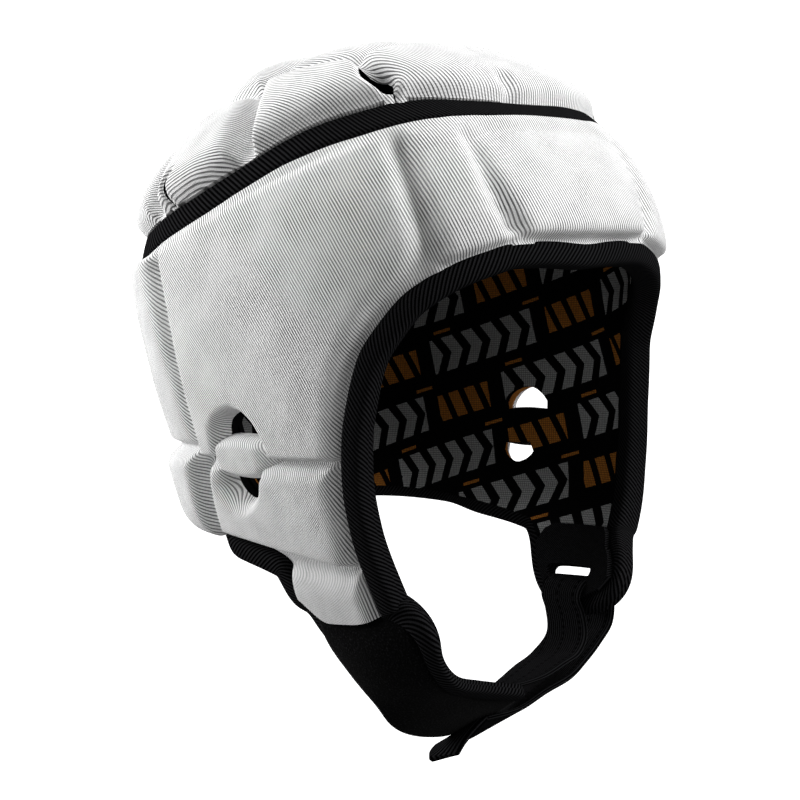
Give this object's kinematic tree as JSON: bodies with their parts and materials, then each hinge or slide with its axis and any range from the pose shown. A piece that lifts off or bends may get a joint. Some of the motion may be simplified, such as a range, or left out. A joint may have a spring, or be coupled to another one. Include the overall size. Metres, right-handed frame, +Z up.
{
  "type": "soft shell football helmet",
  "caption": "Soft padded head guard with lobed crown, bound face opening, ear openings and a chin strap through a slot.",
  "frame": {"origin": "inside of the crown at its apex, where the helmet sits on the top of the head", "axes": "+Z up, the face looks along -Y, the wearer's left is +X"},
  "size_m": [0.1928, 0.2224, 0.3001],
  "materials": {
    "white_fabric": "white rib knit over foam",
    "lining_fabric": "black knit with a grey and orange print",
    "binding_tape": "black twill tape",
    "loop_plush": "black brushed loop",
    "strap_webbing": "black webbing"
  },
  "bodies": {
    "root": {"side_panel": "white_fabric", "right_ear_panel": "white_fabric", "left_ear_panel": "white_fabric", "crown_panel": "white_fabric", "lining": "lining_fabric", "crown_seam_tape": "binding_tape", "edge_binding": "binding_tape", "chin_tab": "loop_plush", "slot_tab": "lining_fabric", "chin_strap": "strap_webbing", "pull_tab": "strap_webbing"}
  },
  "joints": []
}
